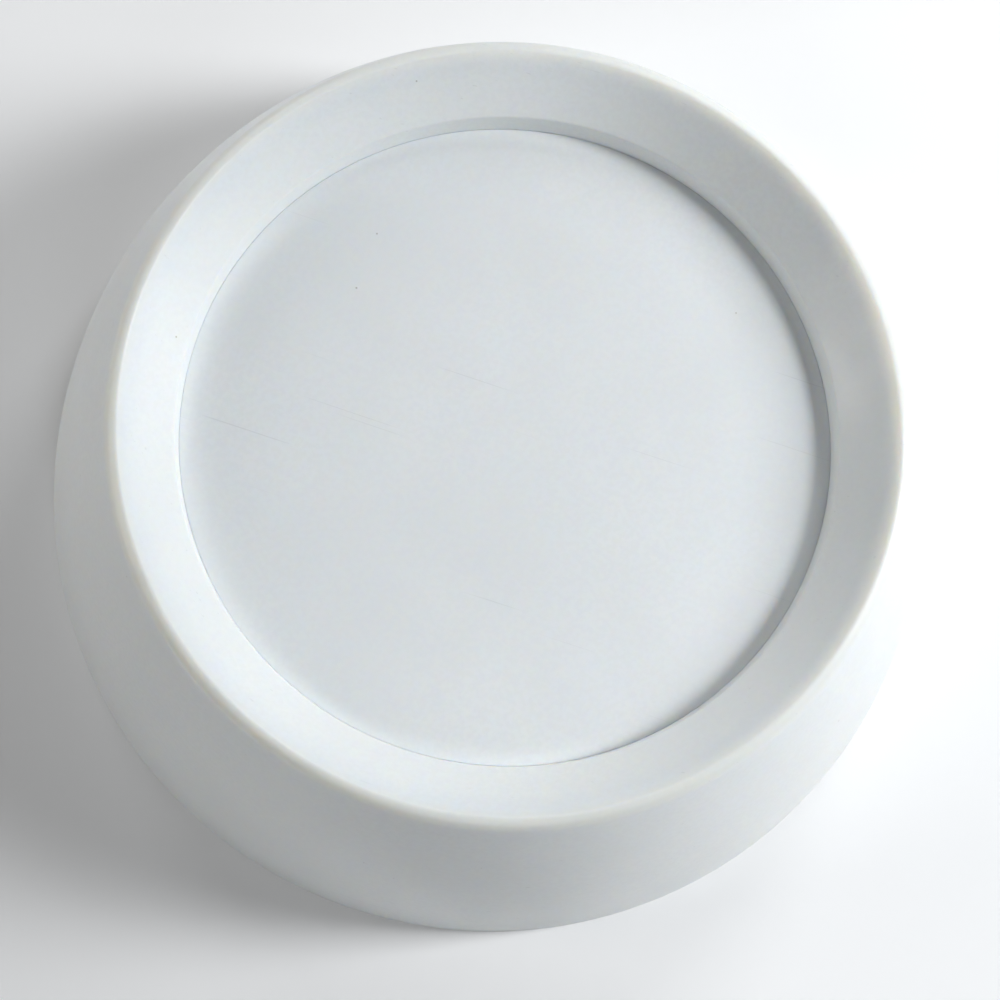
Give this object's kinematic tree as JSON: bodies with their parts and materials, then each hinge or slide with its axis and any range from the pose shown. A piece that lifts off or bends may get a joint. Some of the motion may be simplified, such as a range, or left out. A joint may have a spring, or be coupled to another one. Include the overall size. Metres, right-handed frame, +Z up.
{
  "type": "cheese mold",
  "caption": "Round cheese mold with a funnel rim, a follower set in its bore, a perforated liner and a loose drain bottom.",
  "frame": {"origin": "centre of the round face that the mold stands on", "axes": "+Z up along the axis of the bore; +X and +Y are any two directions across it, because the mold is round"},
  "size_m": [0.28, 0.28, 0.099],
  "materials": {
    "body_plastic": "satin milky-white high-density polyethylene",
    "follower_plastic": "satin milky-white high-density polyethylene, a little cooler than the body",
    "net_plastic": "fine perforated polypropylene sheet, matt",
    "steel": "plain stainless steel"
  },
  "bodies": {
    "mold": {"mold_body": "body_plastic", "base_ring": "body_plastic"},
    "bottom": {"bottom_plate": "body_plastic", "bottom_net": "net_plastic", "bottom_net_ring": "body_plastic", "bottom_screws": "steel"},
    "liner": {"liner_sleeve": "body_plastic", "liner_net": "net_plastic"},
    "follower": {"follower_plate": "follower_plastic", "follower_press_plate": "follower_plastic", "follower_net": "net_plastic", "follower_net_ring": "body_plastic", "follower_screws": "steel"}
  },
  "joints": [
    {"name": "lift_bottom", "type": "slide", "parent": "mold", "child": "bottom", "axis": [0, 0, 1], "range_m": [0, 0.1]},
    {"name": "lift_liner", "type": "slide", "parent": "bottom", "child": "liner", "axis": [0, 0, 1], "range_m": [0, 0.09]},
    {"name": "lift_follower", "type": "slide", "parent": "liner", "child": "follower", "axis": [0, 0, 1], "range_m": [0, 0.045]}
  ]
}
